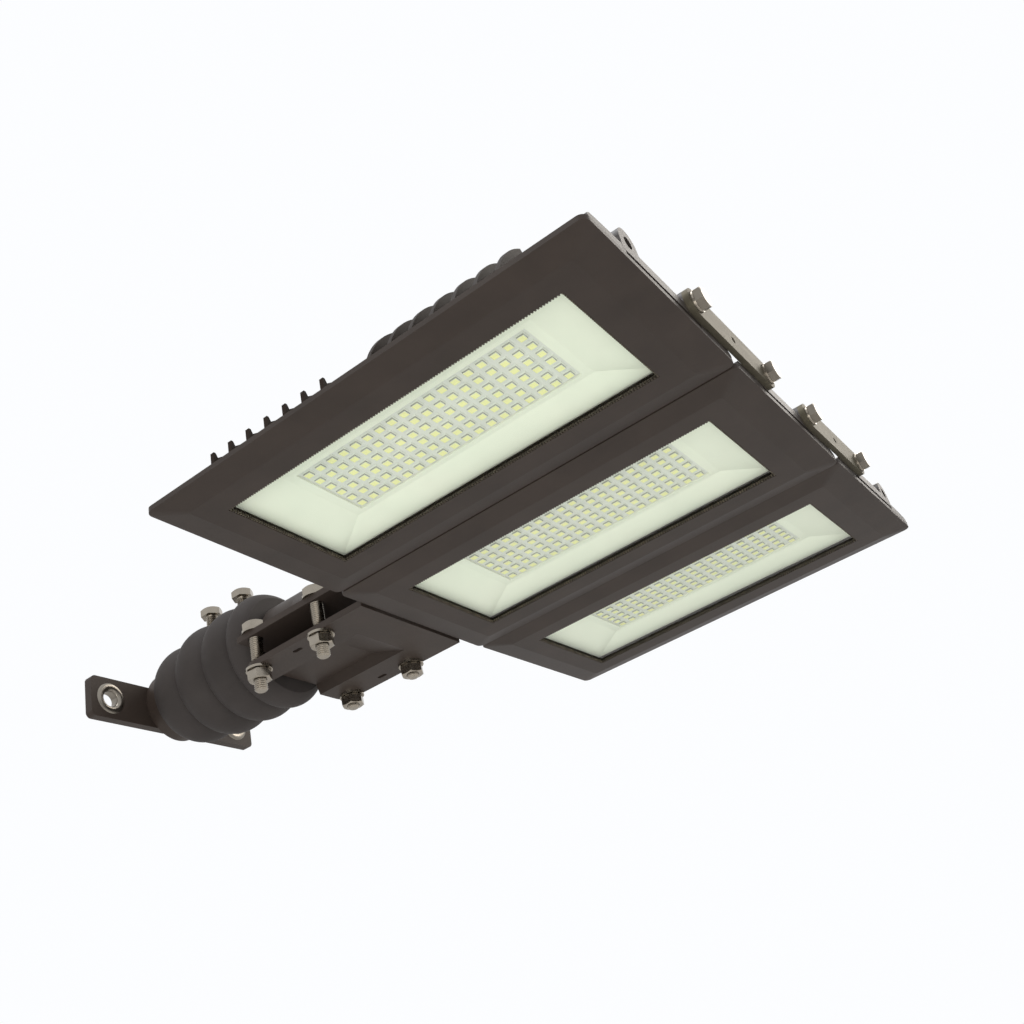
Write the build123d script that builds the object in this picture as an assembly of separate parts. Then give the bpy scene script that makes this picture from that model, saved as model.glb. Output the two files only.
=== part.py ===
from build123d import *
import os
from math import cos, sin, tan, radians, sqrt

# Street light with three lamp modules on a wall arm. Millimetres, +Z up.
# The origin is the middle of the foot plate's back face, on the arm's axis. +X runs out along the arm.
# A module is drawn in its own frame: x as in the part, y from its centre line, z up from its window's rim.

# Foot: plate, tube and bushes
foot_thick = 6.0
foot_length = 136.0
foot_bottom = -18.0
foot_top = 10.0
foot_corner_r = 3.5
foot_hole_spacing = 106.0
foot_hole_r = 5.25
bush_lip_r = 10.5
bush_lip = 1.0
bush_wall = 1.6
tube_r = 24.15
tube_wall = 3.2
tube_end = 86.0

# Sleeve: four rounded rings on a bored body, and the tongue that the clamp grips
sleeve_running_gap = 0.05
sleeve_start = 18.5
sleeve_start_r = 28.5
bore_end = 88.0
ring_x = (31.0, 55.5, 84.0, 103.0)
ring_radii = (33.5, 37.5, 38.3, 38.8)
valley_x = (42.0, 69.0, 93.5)
valley_radii = (30.0, 32.5, 33.5)
sleeve_face = 113.0
face_r = 33.0
tongue_r = 21.2
tongue_shoulder = 142.0
tongue_end = 160.0
tongue_end_r = 13.0

# Set screws
screw_x = (48.5, 79.0)
set_screw_travel_gap = 0.8
set_screw_length = 25.0
thread_r = 4.0
screw_hole_gap = 0.06

# Clamp plates
plate_start = 116.0
plate_end = 211.8
clamp_thick = 4.0
upper_flange_z = -12.5
lower_flange_z = -32.0
upper_half_width = 47.0
lower_half_width = 46.0
arch_wall = 3.5
seat_gap = 0.3
trough_half = 19.0
trough_slope = 2.5
trough_end = 166.0
trough_run_out = 22.0
lower_plate_end = 213.0
lower_corner_r = 10.0
slot_x = 155.0
slot_y = 38.0
slot_length = 7.0
slot_width = 3.0
end_flange_half = 36.0
end_flange_drop = 18.5

# Clamp bolts
clamp_bolt_x = (125.6, 176.6)
clamp_bolt_y = 41.0
near_bolt_length = 40.0
far_bolt_length = 35.0
m8_flats = 13.0
m8_head = 5.3
m8_nut = 6.5
m8_washer_r = 8.0
m8_washer = 1.6
m8_hole_r = 4.5

# Module outline
window_x = 243.0
window_length = 195.0
window_width = 80.6
end_bar = 28.2
side_bar = 25.4
module_gap = 0.4
rim_drop = 34.0
bevel_rise = 2.8
frame_depth = 5.5
frame_corner_r = 4.0
crease = 12.8

# Glass and gasket
lip = 1.2
gasket_lip = 0.5
gasket_peek = 0.3
glass_thick = 3.5
rebate = 8.0
glass_overlap = 6.0
gasket_gap = 0.1

# LED board and reflector
led_columns = 18
led_rows = 6
led_pitch = 7.54
led_size = 5.0
led_height = 1.6
led_face = 10.4
board_thick = 1.6
board_margin = 8.0
board_showing = 1.8
tray_wall = 1.0
tray_gap = 0.1
tray_mouth_margin = 1.8

# Housing: margins are measured from the window's edges
flange_top = 8.7
flange_inset = 3.5
cavity_side_margin = 3.7
cavity_end_margin = 3.5
skin = 2.4
shoulder_side_margin = 8.7
shoulder_end_margin = 6.0
chamber_half = 38.0
chamber_top = 30.0
chamber_near_margin = 6.0
chamber_far_margin = 5.0
pocket_start = 52.0
pocket_far_wall = 40.0
pocket_half = 31.0
fin_thick = 2.2
fin_pitch = 11.4
fin_rows = 7
straight_fins_start = 17.8
arched_fins_start = 112.9
fin_edge_inset = 0.4
spike_width = 1.2
spike_top = 11.5
notch_z = 9.4
straight_fin_slope = 36.0
arch_start_z = 5.9
arch_mid = (9.4, 20.3)
arch_peak = (24.4, 33.7)

# Lugs, link plates and their bolts
lug_y = 27.5
lug_z = 15.5
lug_r = 7.4
lug_thick = 7.0
lug_foot_half = 8.5
lug_foot_slope = 1.1
web_top = 13.0
web_thick = 3.0
pin_r = 3.0
pin_gap = 0.05
link_slack = 0.4
link_rise = 1.22
link_thick = 3.0
link_half_height = 7.4
link_middle_hole_r = 1.8
module_tilt = 1.74
m6_flats = 10.0
m6_head = 4.0
m6_nut = 5.0
m6_washer_r = 5.6
m6_washer = 1.2
thread_past_nut = 1.5

# Back cover, driver and gland
cover_thick = 2.0
driver_side_gap = 3.0
driver_end_gap = 4.0
driver_height = 12.5
cover_screw_flats = 7.0
cover_screw_head = 2.4
cover_screw_inset = 5.0
gland_z = 20.0
gland_r = 7.5
gland_nut = 6.0
gland_nut_flats = 17.0
gland_neck = 9.0
gland_bore_r = 3.5
gland_tip_wall = 2.0

# Worked out from the sizes above
foot_middle_z = (foot_top + foot_bottom) / 2
set_screw_tip = tube_r + set_screw_travel_gap
window_mid = window_x + window_length / 2
window_end = window_x + window_length
module_start = window_x - end_bar
module_end = window_end + end_bar
module_length = module_end - module_start
module_half = window_width / 2 + side_bar
module_pitch = 2 * module_half + module_gap
link_spacing = module_pitch - 2 * lug_y - link_slack
glass_z = lip + gasket_lip
board_z = led_face + led_height
cavity_top = board_z + board_thick
shoulder_top = cavity_top + skin
chamber_start = window_x - chamber_near_margin
chamber_end = window_end + chamber_far_margin
pocket_end = chamber_end - pocket_far_wall
fin_outer = module_half - fin_edge_inset
flats_to_corner = 1 / sqrt(3)
cut = 1.0


def save(shape, name):
    export_step(shape, "parts/" + name + ".step")


def slab(x0, x1, half_width, z0, z1):
    """A plain block between two x positions and two heights, centred on y."""
    return Pos((x0 + x1) / 2, 0, (z0 + z1) / 2) * Box(x1 - x0, 2 * half_width, z1 - z0)


def prism(points, axis_plane, depth):
    """A closed outline pushed along its plane's normal."""
    face = make_face(Polyline(*points, close=True))
    return extrude(axis_plane * face, depth)


def hexagon(flats, height):
    """A hexagonal prism standing on z = 0."""
    return extrude(RegularPolygon(flats * flats_to_corner, 6), height)


def rod(radius, z0, z1):
    return Pos(0, 0, (z0 + z1) / 2) * Cylinder(radius, z1 - z0)


def ring(outer_r, inner_r, z0, z1):
    return rod(outer_r, z0, z1) - rod(inner_r, z0 - cut, z1 + cut)


def chamfered_hexagon(flats, height):
    """A hexagon head with the corners of its outer face turned off."""
    corner_r = flats * flats_to_corner
    turned = Pos(0, 0, height / 2) * Cylinder(corner_r, height)
    turned = chamfer(turned.edges().sort_by(Axis.Z)[-1], corner_r - flats / 2)
    return hexagon(flats, height) & turned


def hexagon_nut(flats, height, hole_r):
    return hexagon(flats, height) - rod(hole_r, -cut, height + cut)


def along_x(shape):
    """Turn a shape drawn on +Z so that it points along +X."""
    return Rot(0, 90, 0) * shape


def at_positions(shape, places):
    return Compound(children=[place * shape for place in places])


# Foot

def foot_hole_places():
    return [Pos(0, side * foot_hole_spacing / 2, foot_middle_z) for side in (-1, 1)]


def foot_plate():
    outline = RectangleRounded(foot_top - foot_bottom, foot_length, foot_corner_r)
    plate = Pos(0, 0, foot_middle_z) * Rot(0, 90, 0) * extrude(outline, foot_thick)
    for place in foot_hole_places():
        plate = plate - place * along_x(rod(foot_hole_r + bush_wall, -cut, foot_thick + cut))
    return plate


def foot_bushes():
    """Steel eyelets that line the two fixing holes, with a thin lip on the front face."""
    barrel = ring(foot_hole_r + bush_wall, foot_hole_r, 0, foot_thick)
    collar = ring(bush_lip_r, foot_hole_r, foot_thick, foot_thick + bush_lip)
    return at_positions(along_x(barrel + collar), foot_hole_places())


def foot_tube():
    return along_x(ring(tube_r, tube_r - tube_wall, foot_thick, tube_end))


# Sleeve

def sleeve_outline():
    """Half section of the ringed body: one rounded bead per ring, with valleys between."""
    stops_x = (sleeve_start, *valley_x, sleeve_face)
    stops_r = (sleeve_start_r, *valley_radii, face_r)
    outline = []
    for number, crest in enumerate(zip(ring_x, ring_radii)):
        start = (stops_x[number], stops_r[number])
        end = (stops_x[number + 1], stops_r[number + 1])
        outline.append(ThreePointArc(start, crest, end))
    inner_r = tube_r + sleeve_running_gap
    outline.append(Polyline(
        (sleeve_face, face_r),
        (sleeve_face, 0),
        (bore_end, 0),
        (bore_end, inner_r),
        (sleeve_start, inner_r),
        (sleeve_start, sleeve_start_r),
    ))
    return make_face(outline)


def tongue_outline(start, grow):
    """Half section of the tongue: a round bar with a tapered end, let out by a distance."""
    radius = tongue_r + grow
    end_r = tongue_end_r + grow
    end = tongue_end + grow
    return make_face(Polyline(
        (start, 0), (start, radius), (tongue_shoulder, radius), (end, end_r), (end, 0), close=True))


def sleeve():
    body = revolve(sleeve_outline(), Axis.X, 360)
    body = body + revolve(tongue_outline(sleeve_face - cut, 0), Axis.X, 360)
    for x in screw_x:
        body = body - Pos(x, 0, 0) * rod(thread_r + screw_hole_gap, 0, max(ring_radii) + cut)
    return body


def set_screw(x):
    """Hexagon head screw whose tip bears on the foot tube when it is driven in."""
    head_z = set_screw_tip + set_screw_length
    screw = rod(thread_r, set_screw_tip, head_z) + Pos(0, 0, head_z) * chamfered_hexagon(m8_flats, m8_head)
    return Pos(x, 0, 0) * screw


# Clamp

def clamp_bolt_places():
    return [(x, side * clamp_bolt_y) for x in clamp_bolt_x for side in (-1, 1)]


def clamp_holes(plate):
    hole = rod(m8_hole_r, lower_flange_z - cut, upper_flange_z + clamp_thick + cut)
    for x, y in clamp_bolt_places():
        plate = plate - Pos(x, y, 0) * hole
    return plate


def clamp_upper():
    """Flange plate with an arch pressed over the tongue and an end flange bent down."""
    top = upper_flange_z + clamp_thick
    flange = slab(plate_start, plate_end, upper_half_width, upper_flange_z, top)
    above = slab(plate_start, plate_end, upper_half_width, upper_flange_z, tongue_r + 2 * arch_wall)
    arch = revolve(tongue_outline(plate_start, seat_gap + arch_wall), Axis.X, 360) & above
    plate = flange + arch - revolve(tongue_outline(plate_start - cut, seat_gap), Axis.X, 360)
    bent_bottom = upper_flange_z - end_flange_drop + clamp_thick
    bent = slab(plate_end - clamp_thick, plate_end, end_flange_half, bent_bottom, top)
    plate = clamp_holes(plate + bent)
    for side in (-1, 1):
        hole = along_x(rod(pin_r + pin_gap, plate_end - clamp_thick - cut, plate_end + cut))
        plate = plate - Pos(0, side * lug_y, lug_z - rim_drop) * hole
    return plate


def trough_wedge(low, high):
    """The space that the trough takes between two heights: straight at first, then it runs out."""
    along = Plane(origin=(0, 0, 0), x_dir=(1, 0, 0), z_dir=(0, -1, 0))
    side = make_face(Polyline(
        (plate_start - cut, low), (plate_start - cut, high), (trough_end, high),
        (trough_end + trough_run_out, low), close=True))
    wedge = extrude(along * side, lower_half_width, both=True)
    across = Plane(origin=(0, 0, 0), x_dir=(0, 1, 0), z_dir=(1, 0, 0))
    step = trough_half + trough_slope
    section = make_face(Polyline(
        (-step, low), (-trough_half, high), (trough_half, high), (step, low), close=True))
    return wedge & extrude(across * section, lower_plate_end)


def clamp_lower():
    """Flange plate with a trough pressed up under the tongue, which runs out before the plate's end."""
    low = lower_flange_z
    rise = -tongue_r - seat_gap - clamp_thick - low
    plate = slab(plate_start, lower_plate_end, lower_half_width, low, low + clamp_thick)
    plate = plate + trough_wedge(low + clamp_thick, low + clamp_thick + rise)
    plate = plate - trough_wedge(low, low + rise)
    length = lower_plate_end - plate_start
    outline = RectangleRounded(length + 2 * lower_corner_r, 2 * lower_half_width, lower_corner_r)
    plan = Pos((plate_start + lower_plate_end) / 2 + lower_corner_r, 0, low - cut)
    plate = clamp_holes(plate & plan * extrude(outline, rise + clamp_thick + 2 * cut))
    for side in (-1, 1):
        slot = extrude(SlotOverall(slot_length, slot_width), clamp_thick + 2 * cut)
        plate = plate - Pos(slot_x, side * slot_y, low - cut) * slot
    return plate


def clamp_bolts():
    under_head = upper_flange_z + clamp_thick + m8_washer
    bolts = []
    for x, y in clamp_bolt_places():
        length = near_bolt_length if y < 0 else far_bolt_length
        bolt = rod(thread_r, under_head - length, under_head)
        bolt = bolt + Pos(0, 0, under_head) * chamfered_hexagon(m8_flats, m8_head)
        bolts.append(Pos(x, y, 0) * bolt)
    return Compound(children=bolts)


def clamp_washers():
    upper = upper_flange_z + clamp_thick
    washers = []
    for x, y in clamp_bolt_places():
        washers.append(Pos(x, y, 0) * ring(m8_washer_r, thread_r, upper, upper + m8_washer))
        washers.append(Pos(x, y, 0) * ring(m8_washer_r, thread_r, lower_flange_z - m8_washer, lower_flange_z))
    return Compound(children=washers)


def clamp_nuts():
    top = lower_flange_z - m8_washer
    nuts = []
    for x, y in clamp_bolt_places():
        nuts.append(Pos(x, y, top - m8_nut) * hexagon_nut(m8_flats, m8_nut, thread_r))
    return Compound(children=nuts)


# Module, drawn in its own frame

def window_slab(end_margin, side_margin, z0, z1):
    """A block round the window, let out past its ends and sides."""
    return slab(window_x - end_margin, window_end + end_margin, window_width / 2 + side_margin, z0, z1)


def frame_rectangle(inset, corner_r, z):
    shape = RectangleRounded(module_length - 2 * inset, 2 * (module_half - inset), corner_r)
    return Pos(window_mid, 0, z) * shape


def frame_body():
    """Front frame: flat round the window, then a bevel that rises to the outer edge."""
    flat = Pos(window_mid, 0, 0) * RectangleRounded(
        window_length + 2 * crease, window_width + 2 * crease, frame_corner_r / 2)
    body = loft([flat, frame_rectangle(0, frame_corner_r, bevel_rise)], ruled=True)
    body = body + extrude(frame_rectangle(0, frame_corner_r, bevel_rise), frame_depth - bevel_rise)
    body = body - window_slab(0, 0, -cut, frame_depth + cut)
    return body - window_slab(rebate, rebate, lip, frame_depth + cut)


def gasket():
    """Rubber channel that wraps the edge of the glass."""
    margin = rebate - gasket_gap
    body = window_slab(margin, margin, lip, frame_depth)
    body = body - window_slab(-gasket_peek, -gasket_peek, lip - cut, glass_z)
    body = body - glass_block()
    return body - window_slab(tray_mouth_margin, tray_mouth_margin, glass_z, frame_depth + cut)


def glass_block():
    return window_slab(glass_overlap, glass_overlap, glass_z, glass_z + glass_thick)


def led_places():
    places = []
    for column in range(led_columns):
        for row in range(led_rows):
            x = window_mid + (column - (led_columns - 1) / 2) * led_pitch
            y = (row - (led_rows - 1) / 2) * led_pitch
            places.append((x, y))
    return places


def array_size():
    length = (led_columns - 1) * led_pitch + led_size
    width = (led_rows - 1) * led_pitch + led_size
    return length, width


def leds():
    package = Box(led_size, led_size, led_height)
    middle_z = led_face + led_height / 2
    return at_positions(package, [Pos(x, y, middle_z) for x, y in led_places()])


def led_board():
    length, width = array_size()
    half_length = length / 2 + board_margin
    half_width = width / 2 + board_margin
    return slab(window_mid - half_length, window_mid + half_length, half_width, board_z, board_z + board_thick)


def tray_rectangle(grow, z, at_board):
    """Tray outline at its mouth or at the board, let out by a distance."""
    if at_board:
        length, width = array_size()
        margin = board_showing
    else:
        length, width = window_length, window_width
        margin = tray_mouth_margin
    return Pos(window_mid, 0, z) * Rectangle(length + 2 * (margin + grow), width + 2 * (margin + grow))


def reflector():
    """Sloped tray that runs from the window's edge up to the LED board."""
    mouth_z = frame_depth + tray_gap
    top_z = board_z - tray_gap
    outer = loft([tray_rectangle(0, mouth_z, False), tray_rectangle(tray_wall, top_z, True)], ruled=True)
    inner = loft([tray_rectangle(-tray_wall, mouth_z, False), tray_rectangle(0, top_z, True)], ruled=True)
    return outer - inner


def fin_outline_straight():
    """One side of a fin of the first group: a short upright at its end, a notch, then a straight rise."""
    run = (chamber_top - notch_z) / tan(radians(straight_fin_slope))
    knee = fin_outer - 2 * spike_width - run
    return [
        Line((0, frame_depth), (fin_outer, frame_depth)),
        Line((fin_outer, frame_depth), (fin_outer, spike_top)),
        Line((fin_outer, spike_top), (fin_outer - spike_width, spike_top)),
        Line((fin_outer - spike_width, spike_top), (fin_outer - 2 * spike_width, notch_z)),
        Line((fin_outer - 2 * spike_width, notch_z), (knee, chamber_top)),
        Line((knee, chamber_top), (0, chamber_top)),
        Line((0, chamber_top), (0, frame_depth)),
    ]


def fin_outline_arched():
    """One side of a fin of the second group: its end curls up in one arc to a peak beside the cover."""
    middle, peak = [(module_half - inset, z) for inset, z in (arch_mid, arch_peak)]
    return [
        Line((0, frame_depth), (fin_outer, frame_depth)),
        Line((fin_outer, frame_depth), (fin_outer, arch_start_z)),
        ThreePointArc((fin_outer, arch_start_z), middle, peak),
        Line(peak, (chamber_half, chamber_top)),
        Line((chamber_half, chamber_top), (0, chamber_top)),
        Line((0, chamber_top), (0, frame_depth)),
    ]


def fin(outline, x):
    plane = Plane(origin=(x - fin_thick / 2, 0, 0), x_dir=(0, 1, 0), z_dir=(1, 0, 0))
    half = extrude(plane * make_face(outline), fin_thick)
    return half + mirror(half, Plane.XZ)


def fins():
    groups = ((straight_fins_start, fin_outline_straight()), (arched_fins_start, fin_outline_arched()))
    xs = [(window_x + start + number * fin_pitch, outline)
          for start, outline in groups for number in range(fin_rows)]
    return [fin(outline, x) for x, outline in xs]


def lug_block(end_x, inward):
    """Two eyes and the low web between them, on the end wall that faces along x."""
    foot_z = flange_top - cut
    across = Plane(origin=(0, 0, 0), x_dir=(0, 1, 0), z_dir=(1, 0, 0))
    block = Pos(web_thick / 2, 0, (foot_z + web_top) / 2) * Box(web_thick, 2 * lug_y, web_top - foot_z)
    for side in (-1, 1):
        inner_foot = side * (lug_y - lug_foot_half)
        outer_foot = side * (lug_y + lug_r)
        pillar = [(outer_foot, foot_z), (outer_foot, lug_z), (inner_foot + side * lug_foot_slope, lug_z),
                  (inner_foot, foot_z)]
        block = block + prism(pillar, across, lug_thick)
        block = block + Pos(0, side * lug_y, lug_z) * along_x(rod(lug_r, 0, lug_thick))
        block = block - Pos(0, side * lug_y, lug_z) * along_x(rod(pin_r + pin_gap, -cut, lug_thick + cut))
    if inward < 0:
        block = mirror(block, Plane.YZ)
    return Pos(end_x, 0, 0) * block


def housing():
    """Cast back: flange, shoulder over the board, driver chamber, fins down both sides, and end lugs."""
    body = extrude(frame_rectangle(flange_inset, frame_corner_r, frame_depth), flange_top - frame_depth)
    body = body + window_slab(shoulder_end_margin, shoulder_side_margin, flange_top - cut, shoulder_top)
    body = body + slab(chamber_start, chamber_end, chamber_half, flange_top, chamber_top)
    body = body + fins()
    body = body + lug_block(module_start, 1) + lug_block(module_end, -1)
    body = body - window_slab(cavity_end_margin, cavity_side_margin, frame_depth - cut, cavity_top)
    body = body - slab(window_x + pocket_start, pocket_end, pocket_half, shoulder_top, chamber_top + cut)
    gland_hole = along_x(rod(gland_bore_r, -cut, pocket_start + chamber_near_margin + cut))
    return body - Pos(chamber_start, 0, gland_z) * gland_hole


def driver():
    x0 = window_x + pocket_start + driver_end_gap
    x1 = pocket_end - driver_end_gap
    return slab(x0, x1, pocket_half - driver_side_gap, shoulder_top, shoulder_top + driver_height)


def back_cover():
    return slab(chamber_start, chamber_end, chamber_half, chamber_top, chamber_top + cover_thick)


def cover_screws():
    """Hexagon screw heads along both long edges of the cover."""
    xs = (chamber_start + cover_screw_inset, window_mid, chamber_end - cover_screw_inset)
    y = chamber_half - cover_screw_inset
    places = [Pos(x, side * y, chamber_top + cover_thick) for x in xs for side in (-1, 1)]
    return at_positions(hexagon(cover_screw_flats, cover_screw_head), places)


def gland():
    """Cable gland: hexagon body against the chamber's end wall and a round dome nut."""
    dome = Cone(gland_r, gland_bore_r + gland_tip_wall, gland_neck)
    body = hexagon(gland_nut_flats, gland_nut) + Pos(0, 0, gland_nut + gland_neck / 2) * dome
    body = body - rod(gland_bore_r, -cut, gland_nut + gland_neck + cut)
    return Pos(chamber_start, 0, gland_z) * Rot(0, -90, 0) * body


# Links between the modules, in the frame of the middle module

def link_places():
    """Pin centres (y, z) of the outer modules' inner lugs, for each side."""
    reach = lug_y + link_spacing * cos(radians(link_rise))
    height = lug_z + link_spacing * sin(radians(link_rise))
    return {side: (side * reach, height) for side in (-1, 1)}


def link_plate(side, x0):
    """Flat bar with round ends from the middle module's lug to the outer module's inner lug."""
    plate = extrude(SlotCenterToCenter(link_spacing, 2 * link_half_height), link_thick)
    for hole_x in (-link_spacing / 2, link_spacing / 2):
        plate = plate - Pos(hole_x, 0, 0) * rod(pin_r + pin_gap, -cut, link_thick + cut)
    plate = plate - rod(link_middle_hole_r, -cut, link_thick + cut)
    outer_y, outer_z = link_places()[side]
    origin = (x0, (side * lug_y + outer_y) / 2, (lug_z + outer_z) / 2)
    rise = radians(link_rise)
    return Plane(origin=origin, x_dir=(0, cos(rise), side * sin(rise)), z_dir=(1, 0, 0)) * plate


def link_pin_places():
    places = [(side * lug_y, lug_z) for side in (-1, 1)]
    return places + list(link_places().values())


def grip(end, middle_pin):
    """Thickness outside the lug that a pin passes: link plate, and the clamp's end flange at the near end."""
    if end < 0 and middle_pin:
        return link_thick + clamp_thick
    return link_thick


def link_pins(end, kind):
    """Bolts, washers or nuts at one end of the modules, drawn pointing outward along x."""
    face_x = module_end if end > 0 else module_start
    shapes = []
    for number, (y, z) in enumerate(link_pin_places()):
        outside = grip(end, number < 2)
        if kind == "washer":
            piece = ring(m6_washer_r, pin_r, outside, outside + m6_washer)
        elif kind == "nut":
            piece = Pos(0, 0, -lug_thick - m6_nut) * hexagon_nut(m6_flats, m6_nut, pin_r)
        else:
            under_head = outside + m6_washer
            piece = rod(pin_r, -lug_thick - m6_nut - thread_past_nut, under_head)
            piece = piece + Pos(0, 0, under_head) * hexagon(m6_flats, m6_head)
        shapes.append(Pos(face_x, y, z) * Rot(0, 90 * end, 0) * piece)
    return Compound(children=shapes)


def module_place(side):
    """Where a module's own frame lies: the outer ones hang from their link pins and tilt up outward."""
    if side == 0:
        return Pos(0, 0, -rim_drop)
    tilt = radians(side * module_tilt)
    pin_y, pin_z = link_places()[side]
    own_y = -side * lug_y
    y = pin_y - (own_y * cos(tilt) - lug_z * sin(tilt))
    z = pin_z - (own_y * sin(tilt) + lug_z * cos(tilt)) - rim_drop
    return Pos(0, y, z) * Rot(side * module_tilt, 0, 0)


def write_module(side, name):
    place = module_place(side)
    pieces = {
        "frame": frame_body(),
        "gasket": gasket(),
        "glass": glass_block(),
        "reflector": reflector(),
        "leds": leds(),
        "board": led_board(),
        "housing": housing(),
        "driver": driver(),
        "back_cover": back_cover(),
        "cover_screws": cover_screws(),
        "gland": gland(),
    }
    for piece, shape in pieces.items():
        save(place * shape, name + "_" + piece)


def write_links():
    down = Pos(0, 0, -rim_drop)
    for end, end_name in ((-1, "near"), (1, "far")):
        x0 = module_end if end > 0 else module_start - link_thick
        for side, side_name in ((-1, "left"), (1, "right")):
            save(down * link_plate(side, x0), "link_plate_" + end_name + "_" + side_name)
        for kind in ("bolt", "washer", "nut"):
            save(down * link_pins(end, kind), "link_" + kind + "s_" + end_name)


def main():
    os.makedirs("parts", exist_ok=True)
    save(foot_plate(), "foot_plate")
    save(foot_bushes(), "foot_bushes")
    save(foot_tube(), "foot_tube")
    save(sleeve(), "sleeve")
    save(set_screw(screw_x[0]), "set_screw_rear")
    save(set_screw(screw_x[1]), "set_screw_front")
    save(clamp_upper(), "clamp_upper")
    save(clamp_lower(), "clamp_lower")
    save(clamp_bolts(), "clamp_bolts")
    save(clamp_washers(), "clamp_washers")
    save(clamp_nuts(), "clamp_nuts")
    write_links()
    for side, name in ((-1, "left"), (0, "middle"), (1, "right")):
        write_module(side, name)


main()
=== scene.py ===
import math
import bpy
import bmesh
from mathutils import Matrix, Quaternion, Vector


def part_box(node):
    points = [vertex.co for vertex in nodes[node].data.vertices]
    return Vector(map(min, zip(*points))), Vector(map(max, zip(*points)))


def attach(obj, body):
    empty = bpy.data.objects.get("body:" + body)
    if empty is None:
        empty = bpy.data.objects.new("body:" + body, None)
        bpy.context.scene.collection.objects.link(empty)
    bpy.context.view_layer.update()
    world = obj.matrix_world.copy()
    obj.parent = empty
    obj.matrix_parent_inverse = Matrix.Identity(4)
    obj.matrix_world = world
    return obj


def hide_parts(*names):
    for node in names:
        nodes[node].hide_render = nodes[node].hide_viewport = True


# Street light with three lamp modules: paints, fine forms and a stage around the CAD nodes.
# Lengths are metres in the part's frame. A module's pieces are drawn in its own frame first:
# x along the module, y across it, z up, from the middle of its LED board's lower face.

MM = 0.001

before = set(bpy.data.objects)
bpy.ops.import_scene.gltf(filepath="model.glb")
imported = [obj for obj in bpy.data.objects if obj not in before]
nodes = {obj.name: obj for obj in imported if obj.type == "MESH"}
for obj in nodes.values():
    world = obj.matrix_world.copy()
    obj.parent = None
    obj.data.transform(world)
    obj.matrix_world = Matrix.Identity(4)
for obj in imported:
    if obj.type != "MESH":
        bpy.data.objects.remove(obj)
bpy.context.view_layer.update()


# Shader node helpers

class Tree:
    """A small wrapper that adds shader nodes and links by name."""

    def __init__(self, name):
        self.material = bpy.data.materials.new(name)
        self.material.use_nodes = True
        self.nodes = self.material.node_tree.nodes
        self.links = self.material.node_tree.links
        self.shader = self.nodes["Principled BSDF"]
        self.output = self.nodes["Material Output"]
        self.place = self.nodes.new("ShaderNodeTexCoord").outputs["Object"]

    def add(self, kind, **values):
        node = self.nodes.new(kind)
        for key, value in values.items():
            setattr(node, key, value)
        return node

    def join(self, out_socket, in_socket):
        self.links.new(out_socket, in_socket)

    def noise(self, scale, detail=4.0, roughness=0.55, stretch=(1, 1, 1)):
        mapping = self.add("ShaderNodeMapping")
        mapping.inputs["Scale"].default_value = stretch
        self.join(self.place, mapping.inputs["Vector"])
        noise = self.add("ShaderNodeTexNoise")
        noise.inputs["Scale"].default_value = scale
        noise.inputs["Detail"].default_value = detail
        noise.inputs["Roughness"].default_value = roughness
        self.join(mapping.outputs["Vector"], noise.inputs["Vector"])
        return noise.outputs["Fac"]

    def ramp(self, factor, low, high, low_at=0.3, high_at=0.7):
        ramp = self.add("ShaderNodeValToRGB")
        ramp.color_ramp.elements[0].position = low_at
        ramp.color_ramp.elements[0].color = (*low, 1)
        ramp.color_ramp.elements[1].position = high_at
        ramp.color_ramp.elements[1].color = (*high, 1)
        self.join(factor, ramp.inputs["Fac"])
        return ramp.outputs["Color"]

    def spread(self, factor, low, high):
        """Map a 0 to 1 factor onto a range of numbers."""
        spread = self.add("ShaderNodeMapRange")
        spread.inputs["To Min"].default_value = low
        spread.inputs["To Max"].default_value = high
        self.join(factor, spread.inputs["Value"])
        return spread.outputs["Result"]

    def compute(self, operation, first, second=None, **values):
        """A math node fed by a socket and, where it takes two, by a second socket or a number."""
        node = self.add("ShaderNodeMath", operation=operation, **values)
        self.join(first, node.inputs[0])
        if isinstance(second, bpy.types.NodeSocket):
            self.join(second, node.inputs[1])
        elif second is not None:
            node.inputs[1].default_value = second
        return node.outputs["Value"]

    def past_ends(self, middle, reach):
        """1 where the place lies further along x from middle than reach, and 0 elsewhere."""
        split = self.add("ShaderNodeSeparateXYZ")
        self.join(self.place, split.inputs["Vector"])
        offset = self.compute("SUBTRACT", split.outputs["X"], middle)
        return self.compute("GREATER_THAN", self.compute("ABSOLUTE", offset), reach)

    def bump(self, factor, strength, distance, below=None):
        bump = self.add("ShaderNodeBump")
        bump.inputs["Strength"].default_value = strength
        bump.inputs["Distance"].default_value = distance
        self.join(factor, bump.inputs["Height"])
        if below is not None:
            self.join(below, bump.inputs["Normal"])
        return bump.outputs["Normal"]

    def set(self, **values):
        for key, value in values.items():
            self.shader.inputs[key].default_value = value


def shade(colour, factor):
    return tuple(channel * factor for channel in colour)


# Materials

PAINT_CLOUDS = 38.0
PAINT_MOTTLE = 0.12
PAINT_ROUGH_SPREAD = 0.06
PEEL_STRENGTH = 0.12
PEEL_DEPTH = 0.08 * MM
END_PEEL_STRENGTH = 0.02
SAG_STRENGTH = 0.08
SAG_DEPTH = 0.3 * MM
MODULE_MIDDLE_X = 340.5 * MM
END_FACE_FROM = 119.5 * MM


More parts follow.
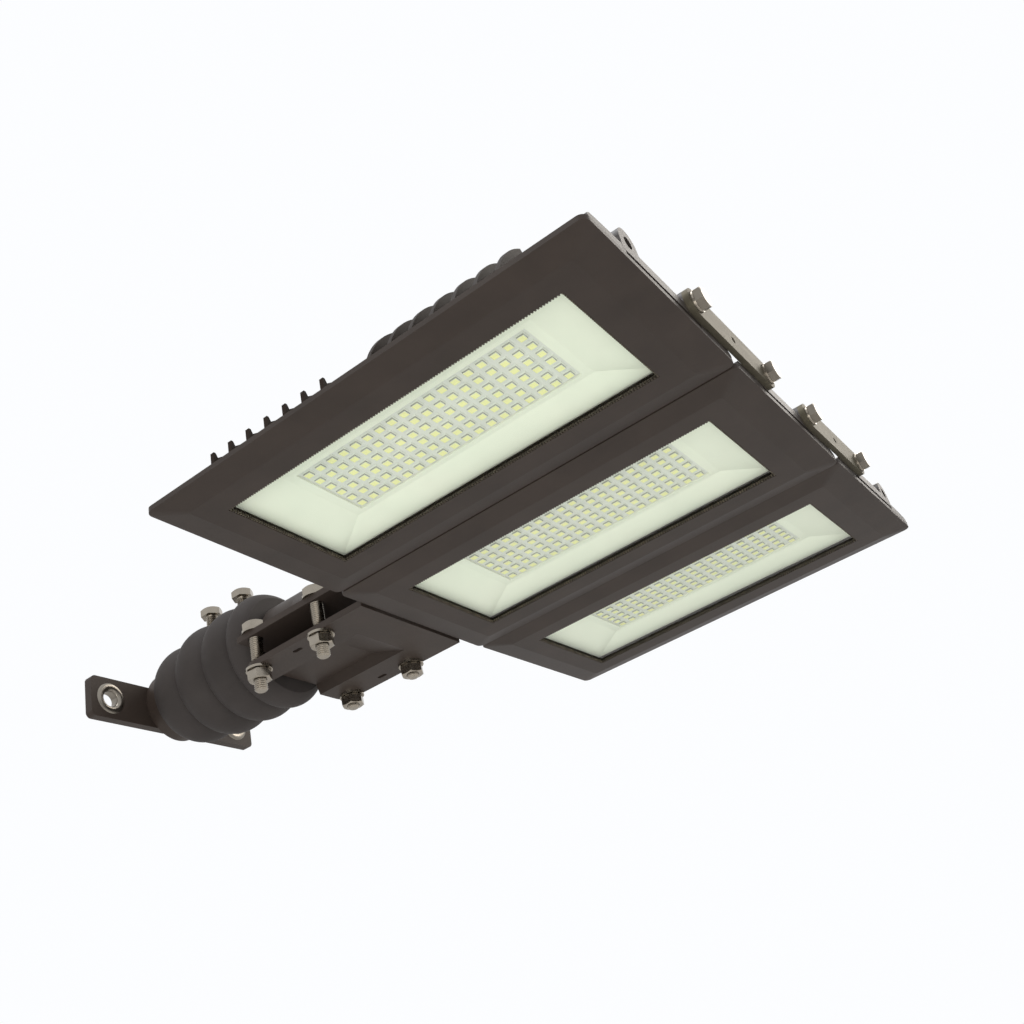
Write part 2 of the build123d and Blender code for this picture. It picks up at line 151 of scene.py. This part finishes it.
def painted(name, colour, grain, rough, gloss, end_gloss=None):
    """Dark powder coat over a casting or steel plate: fine orange peel, faint mottling.

    With end_gloss, the flat ends of a module are smoother and glossier than the rest."""
    t = Tree(name)
    broad = t.noise(PAINT_CLOUDS, 3.0)
    fine = t.noise(grain, 2.0)
    low, high = shade(colour, 1 - PAINT_MOTTLE), shade(colour, 1 + PAINT_MOTTLE)
    t.join(t.ramp(broad, low, high), t.shader.inputs["Base Color"])
    roughness = t.spread(fine, rough - PAINT_ROUGH_SPREAD, rough + PAINT_ROUGH_SPREAD)
    t.join(roughness, t.shader.inputs["Roughness"])
    peel = t.bump(fine, PEEL_STRENGTH, PEEL_DEPTH)
    t.join(t.bump(broad, SAG_STRENGTH, SAG_DEPTH, peel), t.shader.inputs["Normal"])
    specular = t.shader.inputs["Specular IOR Level"]
    if end_gloss is None:
        specular.default_value = gloss
        return t.material
    ends = t.past_ends(MODULE_MIDDLE_X, END_FACE_FROM)
    t.join(t.spread(ends, gloss, end_gloss), specular)
    t.join(t.spread(ends, PEEL_STRENGTH, END_PEEL_STRENGTH), peel.node.inputs["Strength"])
    return t.material


DRAWN_MARKS = 700.0
MARK_STRENGTH = 0.05
MARK_DEPTH = 0.03 * MM
METAL_SMOOTHER = 0.05
METAL_ROUGHER = 0.06
METAL_STAINS = 160.0
STAIN = 0.85


def plated(name, colour, rough, stretch):
    """Bright plated or stainless steel with drawn marks and a little staining."""
    t = Tree(name)
    marks = t.noise(DRAWN_MARKS, 3.0, 0.6, stretch)
    stain = t.noise(METAL_STAINS)
    t.join(t.ramp(stain, shade(colour, STAIN), colour), t.shader.inputs["Base Color"])
    roughness = t.spread(marks, rough - METAL_SMOOTHER, rough + METAL_ROUGHER)
    t.join(roughness, t.shader.inputs["Roughness"])
    t.join(t.bump(marks, MARK_STRENGTH, MARK_DEPTH), t.shader.inputs["Normal"])
    t.set(Metallic=1.0)
    return t.material


PLASTIC_CLOUDS = 55.0
PLASTIC_GRAIN = 2200.0
PLASTIC_ROUGH_SPREAD = 0.05
GRAIN_STRENGTH = 0.08
GRAIN_DEPTH = 0.04 * MM


def moulded(name, colour, rough, spot=0.94):
    """Moulded or coated plastic with a fine sheen and slight unevenness."""
    t = Tree(name)
    cloud = t.noise(PLASTIC_CLOUDS, 3.0)
    fine = t.noise(PLASTIC_GRAIN, 2.0)
    t.join(t.ramp(cloud, shade(colour, spot), colour), t.shader.inputs["Base Color"])
    roughness = t.spread(fine, rough - PLASTIC_ROUGH_SPREAD, rough + PLASTIC_ROUGH_SPREAD)
    t.join(roughness, t.shader.inputs["Roughness"])
    t.join(t.bump(fine, GRAIN_STRENGTH, GRAIN_DEPTH), t.shader.inputs["Normal"])
    return t.material


RUBBER_RIBS = 180.0
RUBBER_ROUGH = 0.7
# Tone between the ribs: painted shade
GROOVE_PAINTED_SHADE = 0.45
RIB_EDGES = (0.1, 0.6)
RIB_STRENGTH = 0.4
RIB_DEPTH = 0.3 * MM


def ribbed_rubber(name, colour):
    """Gasket rubber with small ribs across its edge, darker between the ribs as painted shade."""
    t = Tree(name)
    waves = []
    for direction in ("X", "Y"):
        wave = t.add("ShaderNodeTexWave", wave_type="BANDS", bands_direction=direction)
        wave.inputs["Scale"].default_value = RUBBER_RIBS
        t.join(t.place, wave.inputs["Vector"])
        waves.append(wave.outputs["Fac"])
    ribs = t.compute("MULTIPLY", *waves)
    colours = t.ramp(ribs, shade(colour, GROOVE_PAINTED_SHADE), colour, *RIB_EDGES)
    t.join(colours, t.shader.inputs["Base Color"])
    t.join(t.bump(ribs, RIB_STRENGTH, RIB_DEPTH), t.shader.inputs["Normal"])
    t.set(Roughness=RUBBER_ROUGH)
    return t.material


PANE_IOR = 1.4
PANE_SMEARS = 30.0
PANE_ROUGH = (0.03, 0.07)
PANE_TINTS = ((0.955, 0.98, 0.955), (0.97, 0.988, 0.965))


def clear_glass(name):
    """Toughened pane seen through: a faint green tint, and gloss outside at low angles."""
    t = Tree(name)
    t.nodes.remove(t.shader)
    facing = t.add("ShaderNodeFresnel")
    facing.inputs["IOR"].default_value = PANE_IOR
    back = t.add("ShaderNodeNewGeometry").outputs["Backfacing"]
    front_only = t.compute("SUBTRACT", facing.outputs["Fac"], back, use_clamp=True)
    through = t.add("ShaderNodeBsdfTransparent")
    gloss = t.add("ShaderNodeBsdfGlossy")
    smear = t.noise(PANE_SMEARS, 3.0)
    t.join(t.ramp(smear, *PANE_TINTS), through.inputs["Color"])
    t.join(t.spread(smear, *PANE_ROUGH), gloss.inputs["Roughness"])
    mix = t.add("ShaderNodeMixShader")
    t.join(front_only, mix.inputs["Fac"])
    t.join(through.outputs["BSDF"], mix.inputs[1])
    t.join(gloss.outputs["BSDF"], mix.inputs[2])
    t.join(mix.outputs["Shader"], t.output.inputs["Surface"])
    return t.material


DARK = (0.034, 0.0252, 0.0204)
STEEL = (0.34, 0.305, 0.255)
cast_paint = painted("cast_paint", DARK, 1500.0, 0.5, 0.22)
# Housing paint: the frames' dark paint made darker as painted shade over the fins, with glossier
# module ends
fin_paint_painted_shade = painted("fin_paint_painted_shade", shade(DARK, 0.75), 1500.0, 0.5, 0.03, 0.55)
sleeve_paint = painted("sleeve_paint", (0.0435, 0.038, 0.036), 1100.0, 0.68, 0.14)
plate_paint = painted("plate_paint", shade(DARK, 1.12), 900.0, 0.5, 0.2)
bright_steel = plated("bright_steel", STEEL, 0.26, (1, 1, 0.1))
# Bolt steel made darker for the link bolts: painted shade standing for the dark surroundings they
# reflect
link_bolt_steel_painted_shade = plated("link_bolt_steel_painted_shade", shade(STEEL, 0.62), 0.3, (0.1, 1, 1))
link_steel = plated("link_steel", (0.12, 0.107, 0.078), 0.6, (1, 0.08, 1))
bush_steel = plated("bush_steel", (0.27, 0.245, 0.21), 0.3, (0.2, 1, 1))
rubber = ribbed_rubber("gasket_rubber", (0.085, 0.068, 0.045))
glass = clear_glass("front_glass")
tray_white = moulded("tray_white", (0.93, 0.935, 0.835), 0.3, 0.97)
board_white = moulded("board_white", (0.82, 0.815, 0.79), 0.45, 0.95)
# Grey for the LED packages' upright body walls: painted shade
package_painted_shade = moulded("package_painted_shade", (0.42, 0.42, 0.37), 0.5)
package_white = moulded("package_white", (0.82, 0.82, 0.78), 0.4)
phosphor = moulded("phosphor", (0.97, 0.94, 0.48), 0.3, 0.96)
driver_metal = plated("driver_metal", (0.6, 0.6, 0.6), 0.45, (0.1, 1, 1))
black_nylon = moulded("black_nylon", (0.02, 0.02, 0.02), 0.45, 0.8)

NODE_MATERIALS = {
    "foot_plate": plate_paint,
    "foot_tube": plate_paint,
    "foot_bushes": bush_steel,
    "sleeve": sleeve_paint,
    "set_screw_rear": bright_steel,
    "set_screw_front": bright_steel,
    "clamp_upper": plate_paint,
    "clamp_lower": plate_paint,
    "clamp_bolts": bright_steel,
    "clamp_washers": bright_steel,
    "clamp_nuts": bright_steel,
}
ENDINGS = {
    "_frame": cast_paint,
    "_housing": fin_paint_painted_shade,
    "_back_cover": cast_paint,
    "_gasket": rubber,
    "_glass": glass,
    "_reflector": tray_white,
    "_board": board_white,
    "_leds": package_white,
    "_driver": driver_metal,
    "_cover_screws": bright_steel,
    "_gland": black_nylon,
}


def material_for(name):
    if name in NODE_MATERIALS:
        return NODE_MATERIALS[name]
    if name.startswith("link_plate"):
        return link_steel
    if name.startswith("link_"):
        return bright_steel
    for ending, material in ENDINGS.items():
        if name.endswith(ending):
            return material
    return cast_paint


def dress_nodes():
    for name, node in nodes.items():
        node.data.materials.clear()
        node.data.materials.append(material_for(name))


# Pieces

CORNERS = ((-1, -1), (1, -1), (1, 1), (-1, 1))
SHARP_ANGLE = math.radians(28)
MERGE_DISTANCE = 0.001 * MM
FACES_DOWN = -0.9


def add_band(mesh, near, far):
    """Quads between two rings with as many points."""
    faces = []
    for number in range(len(near)):
        other = (number + 1) % len(near)
        faces.append(mesh.faces.new((near[number], near[other], far[other], far[number])))
    return faces


def added(mesh, name, materials):
    """Turn a bmesh into an object in the scene."""
    data = bpy.data.meshes.new(name)
    mesh.to_mesh(data)
    mesh.free()
    for material in materials:
        data.materials.append(material)
    piece = bpy.data.objects.new(name, data)
    bpy.context.collection.objects.link(piece)
    return piece


def finished(mesh, name, materials):
    """A piece with smooth shading between its sharp edges."""
    piece = added(mesh, name, materials)
    piece.data.shade_smooth()
    piece.data.set_sharp_from_angle(angle=SHARP_ANGLE)
    return piece


def module_axes(name):
    """Turn and place of a module's own frame, read from its board's largest downward face."""
    board = nodes[name + "_board"].data
    downward = (face for face in board.polygons if face.normal.z < FACES_DOWN)
    up = -max(downward, key=lambda face: face.area).normal
    low = min(vert.co.dot(up) for vert in board.vertices)
    lo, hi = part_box(name + "_leds")
    middle = (Vector(lo) + Vector(hi)) / 2
    along = Vector((1, 0, 0))
    across = up.cross(along).normalized()
    origin = middle + up * (low - middle.dot(up))
    return Matrix((along, across, up)).transposed().to_4x4(), origin


def set_on_module(mesh, name):
    """Turn a mesh's faces outward and move it from a module's own frame to the part's."""
    turn, origin = module_axes(name)
    bmesh.ops.recalc_face_normals(mesh, faces=mesh.faces)
    mesh.transform(Matrix.Translation(origin) @ turn)


# LED packages

LED_COLUMNS = 18
LED_ROWS = 6
PAINTED_SHADE_GREY, WHITE, GLOW = range(3)
PACKAGE_HALF = 2.5 * MM
# Half width and depth below the board at each step of a package, and the look of the band
# that ends there: foot, sloped body, rounded edge, rim and the phosphor's well
PACKAGE_STEPS = (
    (PACKAGE_HALF, 0.0, WHITE),
    (PACKAGE_HALF, 0.3 * MM, WHITE),
    (1.95 * MM, 0.7 * MM, WHITE),
    # The upright body walls are grey as painted shade
    (1.95 * MM, 1.48 * MM, PAINTED_SHADE_GREY),
    (1.83 * MM, 1.6 * MM, WHITE),
    (1.7 * MM, 1.6 * MM, WHITE),
    (1.6 * MM, 1.4 * MM, GLOW),
)


def add_package(mesh, x, y):
    rings = []
    for half, depth, _ in PACKAGE_STEPS:
        rings.append([mesh.verts.new((x + u * half, y + v * half, -depth)) for u, v in CORNERS])
    for near, far, (_, _, look) in zip(rings, rings[1:], PACKAGE_STEPS[1:]):
        for face in add_band(mesh, near, far):
            face.material_index = look
    mesh.faces.new(reversed(rings[-1])).material_index = GLOW
    mesh.faces.new(rings[0]).material_index = PAINTED_SHADE_GREY


def led_packages(name):
    lo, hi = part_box(name + "_leds")
    pitch = (hi[0] - lo[0] - 2 * PACKAGE_HALF) / (LED_COLUMNS - 1)
    mesh = bmesh.new()
    for column in range(LED_COLUMNS):
        for row in range(LED_ROWS):
            x = (column - (LED_COLUMNS - 1) / 2) * pitch
            y = (row - (LED_ROWS - 1) / 2) * pitch
            add_package(mesh, x, y)
    set_on_module(mesh, name)
    piece = added(mesh, name + "_led_packages", (package_painted_shade, package_white, phosphor))
    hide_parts(name + "_leds")
    return piece


# Gasket teeth that show round each window

WINDOW_HALF_LENGTH = 97.5 * MM
WINDOW_HALF_WIDTH = 40.3 * MM
TOOTH_LOW = -11.8 * MM
TOOTH_HIGH = -10.35 * MM
TOOTH_REACH = 0.9 * MM
TOOTH_WIDTH = 0.75 * MM
TOOTH_PITCH = 1.5 * MM


def add_box(mesh, low, high):
    rings = []
    for z in (low[2], high[2]):
        corners = ((low[0], low[1]), (high[0], low[1]), (high[0], high[1]), (low[0], high[1]))
        rings.append([mesh.verts.new((x, y, z)) for x, y in corners])
    add_band(mesh, *rings)
    mesh.faces.new(reversed(rings[0]))
    mesh.faces.new(rings[1])


def add_teeth(mesh, half_run, half_reach, turned):
    """Rows of small teeth on two opposite edges of the window."""
    count = int(2 * half_run / TOOTH_PITCH)
    for number in range(count):
        along = (number - (count - 1) / 2) * TOOTH_PITCH
        for side in (-1, 1):
            near, far = sorted((side * half_reach, side * (half_reach - TOOTH_REACH)))
            low = [along - TOOTH_WIDTH / 2, near, TOOTH_LOW]
            high = [along + TOOTH_WIDTH / 2, far, TOOTH_HIGH]
            if turned:
                low[0], low[1] = low[1], low[0]
                high[0], high[1] = high[1], high[0]
            add_box(mesh, low, high)


def gasket_teeth(name):
    mesh = bmesh.new()
    add_teeth(mesh, WINDOW_HALF_LENGTH, WINDOW_HALF_WIDTH, False)
    add_teeth(mesh, WINDOW_HALF_WIDTH, WINDOW_HALF_LENGTH, True)
    set_on_module(mesh, name)
    return finished(mesh, name + "_gasket_teeth", (rubber,))


# Lip of the reflector tray round the LED board

LIP_INNER = (68.45 * MM, 23.2 * MM)
LIP_OUTER = (73.5 * MM, 26.2 * MM)
LIP_BACK = -0.2 * MM
LIP_FACE = -1.2 * MM
LIP_FALL = 0.03 * MM


def add_wedge_ring(mesh, inner, outer, back, face):
    """Rectangular ring of triangular section: a wall round the inside and a nearly flat face."""
    rings = []
    for half, height in ((inner, back), (inner, face), (outer, face + LIP_FALL)):
        rings.append([mesh.verts.new((u * half[0], v * half[1], height)) for u, v in CORNERS])
    for near, far in zip(rings, rings[1:] + rings[:1]):
        add_band(mesh, near, far)


def tray_lip(name):
    mesh = bmesh.new()
    add_wedge_ring(mesh, LIP_INNER, LIP_OUTER, LIP_BACK, LIP_FACE)
    set_on_module(mesh, name)
    return finished(mesh, name + "_tray_lip", (tray_white,))


# Low cast sills beside the lugs at both ends of a module

# Across and up from the board, in millimetres, on one side of the module
SILL_OUTLINE = ((33.0, -6.5), (63.0, -6.5), (62.8, -5.0), (60.5, -3.4), (46.0, -2.4), (33.0, -2.0))
SILL_THICK = 3.0 * MM
END_REACH = 125.65 * MM


def add_sill(mesh, side, end):
    rings = []
    for x in sorted((end * END_REACH, end * (END_REACH - SILL_THICK))):
        rings.append([mesh.verts.new((x, side * y * MM, z * MM)) for y, z in SILL_OUTLINE])
    add_band(mesh, *rings)
    mesh.faces.new(rings[0])
    mesh.faces.new(reversed(rings[1]))


def end_sills(name):
    mesh = bmesh.new()
    for side in (-1, 1):
        for end in (-1, 1):
            add_sill(mesh, side, end)
    set_on_module(mesh, name)
    return finished(mesh, name + "_end_sills", (fin_paint_painted_shade,))


# Fasteners with turned heads and threads

STEPS = 48
CROWN = 0.94
CROWN_SLOPE = 0.58
THREAD_ROOT = 0.864
TIP_TAPER = 0.82
TIP_LENGTH = 0.4
FIRST_CREST = 0.9
SORT_DIGITS = 5


def islands(name):
    """Lowest and highest corner of each separate solid in a node."""
    mesh = bmesh.new()
    mesh.from_mesh(nodes[name].data)
    mesh.transform(nodes[name].matrix_world)
    bmesh.ops.remove_doubles(mesh, verts=mesh.verts, dist=MERGE_DISTANCE)
    left = set(mesh.verts)
    found = []
    while left:
        stack = [left.pop()]
        group = list(stack)
        while stack:
            for edge in stack.pop().link_edges:
                for vert in edge.verts:
                    if vert in left:
                        left.remove(vert)
                        stack.append(vert)
                        group.append(vert)
        lo = Vector(min(v.co[axis] for v in group) for axis in range(3))
        hi = Vector(max(v.co[axis] for v in group) for axis in range(3))
        found.append((lo, hi))
    mesh.free()
    return sorted(found, key=lambda box: tuple(round(c, SORT_DIGITS) for c in box[0]))


def add_lathe(mesh, profile, place):
    """Turn a profile about z. Each point of it is a height and a function that gives, for an angle,
    the radius and how far the point drops below that height."""
    rings = []
    for height, reach in profile:
        ring = []
        for step in range(STEPS):
            angle = 2 * math.pi * step / STEPS
            radius, drop = reach(angle)
            point = Vector((radius * math.cos(angle), radius * math.sin(angle), height - drop))
            ring.append(mesh.verts.new(place @ point))
        rings.append(ring)
    for near, far in zip(rings, rings[1:]):
        add_band(mesh, near, far)
    return rings


def circle(radius):
    return lambda angle: (radius, 0.0)


def hexagon(flats, crowned):
    """A hexagon's edge, which drops away from a crowned face toward the corners."""
    sixth = math.radians(60)
    inner = CROWN * flats / 2

    def reach(angle):
        radius = flats / 2 / math.cos(angle % sixth - sixth / 2)
        return radius, crowned * (radius - inner) * CROWN_SLOPE
    return reach


def thread_profile(radius, low, high, pitch):
    """Roots and crests of a shank from its tapered tip up to its head."""
    root = radius * THREAD_ROOT
    profile = [(low, circle(root * TIP_TAPER)), (low + pitch * TIP_LENGTH, circle(root))]
    height = low + pitch * FIRST_CREST
    while height < high - pitch:
        profile.append((height, circle(radius)))
        profile.append((height + pitch / 2, circle(root)))
        height += pitch
    profile.append((high, circle(radius)))
    return profile


def add_bolt(mesh, place, sizes, length):
    """Hexagon head above z = 0 and a threaded shank below it."""
    flats, head, radius, pitch = sizes
    shank = add_lathe(mesh, thread_profile(radius, -length, 0.0, pitch), place)
    mesh.faces.new(reversed(shank[0]))
    top = add_lathe(mesh, [
        (0.0, circle(radius)),
        (0.0, hexagon(flats, 0)),
        (head, hexagon(flats, 1)),
        (head, circle(CROWN * flats / 2)),
    ], place)
    mesh.faces.new(top[-1])


def add_nut(mesh, place, sizes):
    """Hexagon nut with both faces crowned and a plain bore."""
    flats, height, radius, _ = sizes
    add_lathe(mesh, [
        (0.0, circle(radius)),
        (0.0, circle(CROWN * flats / 2)),
        (0.0, hexagon(flats, -1)),
        (height, hexagon(flats, 1)),
        (height, circle(CROWN * flats / 2)),
        (height, circle(radius)),
        (0.0, circle(radius)),
    ], place)


def replace_node(mesh, name, body, material=bright_steel):
    bmesh.ops.recalc_face_normals(mesh, faces=mesh.faces)
    piece = finished(mesh, name + "_turned", (material,))
    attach(piece, body)
    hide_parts(name)


# Turns that bring z onto a fastener's own axis
TURN_UP = Matrix.Identity(4)
TURN_AHEAD = Matrix.Rotation(math.radians(90), 4, "Y")
TURN_BACK = Matrix.Rotation(math.radians(-90), 4, "Y")
# Across flats, height of the head or nut, thread radius and pitch
M8_BOLT = (13 * MM, 5.3 * MM, 4 * MM, 1.25 * MM)
M6_BOLT = (10 * MM, 4 * MM, 3 * MM, 1.0 * MM)
M8_NUT = (13 * MM, 6.5 * MM, 4 * MM, 1.25 * MM)
M6_NUT = (10 * MM, 5 * MM, 3 * MM, 1.0 * MM)
BOLTS = (
    ("clamp_bolts", "head", TURN_UP, M8_BOLT, bright_steel),
    ("set_screw_rear", "set_screw_rear", TURN_UP, M8_BOLT, bright_steel),
    ("set_screw_front", "set_screw_front", TURN_UP, M8_BOLT, bright_steel),
    ("link_bolts_far", "head", TURN_AHEAD, M6_BOLT, link_bolt_steel_painted_shade),
    ("link_bolts_near", "head", TURN_BACK, M6_BOLT, link_bolt_steel_painted_shade),
)
NUTS = (
    ("clamp_nuts", "head", TURN_UP, M8_NUT),
    ("link_nuts_far", "head", TURN_AHEAD, M6_NUT),
    ("link_nuts_near", "head", TURN_BACK, M6_NUT),
)


def ends(lo, hi, turn):
    """Centre points of a solid's two ends along its own axis: the tail and the tip."""
    axis = turn.to_3x3() @ Vector((0, 0, 1))
    middle = (lo + hi) / 2
    half = abs((hi - lo).dot(axis)) / 2
    return middle - axis * half, middle + axis * half


def build_fasteners():
    for name, body, turn, sizes, material in BOLTS:
        mesh = bmesh.new()
        for lo, hi in islands(name):
            tail, tip = ends(lo, hi, turn)
            head_at = tip + (tail - tip).normalized() * sizes[1]
            place = Matrix.Translation(head_at) @ turn
            add_bolt(mesh, place, sizes, (tail - head_at).length)
        replace_node(mesh, name, body, material)
    for name, body, turn, sizes in NUTS:
        mesh = bmesh.new()
        for lo, hi in islands(name):
            tail, _ = ends(lo, hi, turn)
            add_nut(mesh, Matrix.Translation(tail) @ turn, sizes)
        replace_node(mesh, name, body)


# Height from the foot plate's back face and radius, in millimetres
BUSH_PROFILE = (
    (0.0, 5.25), (4.4, 5.25), (5.7, 5.5), (6.5, 6.2), (6.95, 7.3), (7.0, 8.1), (6.85, 9.0),
    (6.5, 9.8), (6.05, 10.45), (6.05, 6.8), (0.05, 6.8), (0.0, 5.25),
)


def build_bushes():
    """Rounded steel eyelets in the foot plate's two holes."""
    profile = [(height * MM, circle(radius * MM)) for height, radius in BUSH_PROFILE]
    mesh = bmesh.new()
    for lo, hi in islands("foot_bushes"):
        middle = (lo + hi) / 2
        add_lathe(mesh, profile, Matrix.Translation((0.0, middle.y, middle.z)) @ TURN_AHEAD)
    bmesh.ops.remove_doubles(mesh, verts=mesh.verts, dist=MERGE_DISTANCE)
    replace_node(mesh, "foot_bushes", "foot", bush_steel)


# Stage, lights and camera

WORLD_LIGHT = (1.0, 0.98, 0.96)
WORLD_STRENGTH = 0.7
BACKGROUND = (0.975, 0.985, 1.0)
SHOWN_TO = ("Is Camera Ray", "Is Glossy Ray", "Is Transmission Ray")


def any_ray(tree, names):
    """1 for rays of any of the named kinds, and 0 for the rest."""
    path = tree.nodes.new("ShaderNodeLightPath")
    total = path.outputs[names[0]]
    for name in names[1:]:
        most = tree.nodes.new("ShaderNodeMath")
        most.operation = "MAXIMUM"
        tree.links.new(total, most.inputs[0])
        tree.links.new(path.outputs[name], most.inputs[1])
        total = most.outputs["Value"]
    return total


def build_world():
    """Background for the rays that show it, and softer light for the rest."""
    world = bpy.data.worlds.new("studio")
    bpy.context.scene.world = world
    world.use_nodes = True
    tree = world.node_tree
    tree.nodes.clear()
    seen = tree.nodes.new("ShaderNodeBackground")
    seen.inputs["Color"].default_value = (*BACKGROUND, 1)
    lit = tree.nodes.new("ShaderNodeBackground")
    lit.inputs["Color"].default_value = (*WORLD_LIGHT, 1)
    lit.inputs["Strength"].default_value = WORLD_STRENGTH
    mix = tree.nodes.new("ShaderNodeMixShader")
    output = tree.nodes.new("ShaderNodeOutputWorld")
    tree.links.new(any_ray(tree, SHOWN_TO), mix.inputs["Fac"])
    tree.links.new(lit.outputs["Background"], mix.inputs[1])
    tree.links.new(seen.outputs["Background"], mix.inputs[2])
    tree.links.new(mix.outputs["Shader"], output.inputs["Surface"])


FLOOR_Z = -0.75
FLOOR_HALF = 6.0
FLOOR_CLOUDS = 3.0
FLOOR_ROUGH = 0.8
FLOOR_TONES = ((0.80, 0.81, 0.82), (0.83, 0.84, 0.85))


def build_floor():
    mesh = bmesh.new()
    corners = [(x * FLOOR_HALF, y * FLOOR_HALF, FLOOR_Z) for x, y in CORNERS]
    mesh.faces.new([mesh.verts.new(corner) for corner in corners])
    t = Tree("floor_pale")
    t.join(t.ramp(t.noise(FLOOR_CLOUDS), *FLOOR_TONES), t.shader.inputs["Base Color"])
    t.set(Roughness=FLOOR_ROUGH)
    floor = added(mesh, "floor", (t.material,))


OBJECT_MIDDLE = Vector((0.26, 0.0, -0.03))
# Name, place, power in watts, width of the square lamp and colour
LAMPS = (
    ("front_low", (0.52, -0.95, -0.72), 8.5, 0.9, (1.0, 0.97, 0.93)),
    ("free_end", (0.68, 1.2, 1.0), 15.0, 1.05, (1.0, 0.93, 0.84)),
    ("above", (0.1, -0.4, 1.6), 12.0, 0.9, (0.97, 0.98, 1.0)),
)


def build_lamps():
    for name, place, power, size, colour in LAMPS:
        data = bpy.data.lights.new(name, "AREA")
        data.energy = power
        data.size = size
        data.color = colour
        lamp = bpy.data.objects.new(name, data)
        bpy.context.collection.objects.link(lamp)
        lamp.location = place
        toward = OBJECT_MIDDLE - Vector(place)
        lamp.rotation_euler = toward.to_track_quat("-Z", "Y").to_euler()


# Place and rotation vector found by fitting the windows' corners. The lens and sensor are in
# millimetres.
CAMERA_PLACE = (0.57468, -0.51135, -0.33431)
CAMERA_TURN = (1.0598, 0.1319, -0.6771)
CAMERA_LENS = 40.75
CAMERA_SENSOR = 36.0
CLIP_START = 0.02


def build_camera():
    data = bpy.data.cameras.new("camera")
    data.sensor_width = CAMERA_SENSOR
    data.lens = CAMERA_LENS
    data.clip_start = CLIP_START
    camera = bpy.data.objects.new("camera", data)
    bpy.context.collection.objects.link(camera)
    turn = Vector(CAMERA_TURN)
    to_camera = Quaternion(turn.normalized(), turn.length).to_matrix()
    flip = Matrix(((1, 0, 0), (0, -1, 0), (0, 0, -1)))
    place = Matrix.Translation(Vector(CAMERA_PLACE))
    camera.matrix_world = place @ (to_camera.transposed() @ flip).to_4x4()
    bpy.context.scene.camera = camera


MODULES = (("left", "module_left"), ("middle", "head"), ("right", "module_right"))


def main():
    dress_nodes()
    for name, body in MODULES:
        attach(led_packages(name), body)
        for build in (gasket_teeth, tray_lip, end_sills):
            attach(build(name), body)
    build_bushes()
    build_fasteners()
    build_world()
    build_floor()
    build_lamps()
    build_camera()
    bpy.context.scene.view_settings.view_transform = "Standard"


main()
